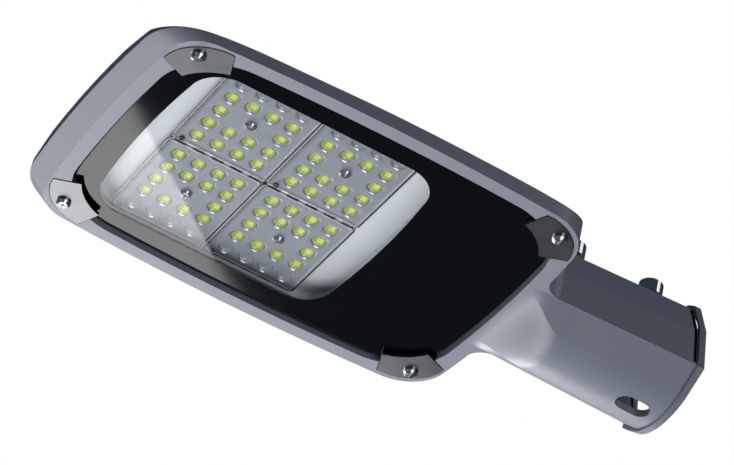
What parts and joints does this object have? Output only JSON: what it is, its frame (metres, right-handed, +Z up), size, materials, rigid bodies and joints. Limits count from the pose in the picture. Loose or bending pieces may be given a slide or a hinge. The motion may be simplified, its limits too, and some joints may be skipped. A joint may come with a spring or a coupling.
{
  "type": "led street light head",
  "caption": "Slim cast street light head with a flat glass over an LED lens array, corner clips, a finned back and a side-entry pole socket with clamp bolts.",
  "frame": {"origin": "on the axis of the pole socket, at the mouth of its wall", "axes": "+X out of the socket, along the lamp's length; +Z up, away from the glass, which faces -Z; Y across the lamp"},
  "size_m": [0.3631, 0.192, 0.0862],
  "materials": {
    "housing_paint": "satin",
    "collar_paint": "satin",
    "cover_glass": "clear",
    "black_enamel": "gloss",
    "black_rubber": "matte",
    "clip_metal": "brushed",
    "bright_screw": "polished",
    "bolt_chrome": "polished",
    "tray_paint": "matte",
    "board": "satin",
    "led_phosphor": "matte",
    "clear_seal": "satin",
    "lens_plastic": "clear",
    "driver_case": "satin",
    "terminal_plastic": "matte",
    "gland_plastic": "matte"
  },
  "bodies": {
    "root": {"housing": "housing_paint", "glass_cover": "cover_glass", "glass_border": "black_enamel", "glass_gasket": "black_rubber", "clip_tip_left": "clip_metal", "clip_tip_right": "clip_metal", "clip_rear_left": "clip_metal", "clip_rear_right": "clip_metal", "clip_pads": "black_rubber", "clip_screws": "bright_screw", "reflector_tray": "tray_paint", "led_board_1": "board", "led_board_2": "board", "led_board_3": "board", "led_board_4": "board", "led_chips_1": "led_phosphor", "led_chips_2": "led_phosphor", "led_chips_3": "led_phosphor", "led_chips_4": "led_phosphor", "lens_seal_1": "clear_seal", "lens_seal_2": "clear_seal", "lens_seal_3": "clear_seal", "lens_seal_4": "clear_seal", "lens_plate_1": "lens_plastic", "lens_plate_2": "lens_plastic", "lens_plate_3": "lens_plastic", "lens_plate_4": "lens_plastic", "lens_screws": "bright_screw", "led_driver": "driver_case", "driver_screws": "bright_screw", "terminal_block": "terminal_plastic", "surge_protector": "driver_case", "cable_gland": "gland_plastic", "gland_locknut": "gland_plastic", "clamp_bolts": "bolt_chrome", "socket_collar": "collar_paint"}
  },
  "joints": []
}
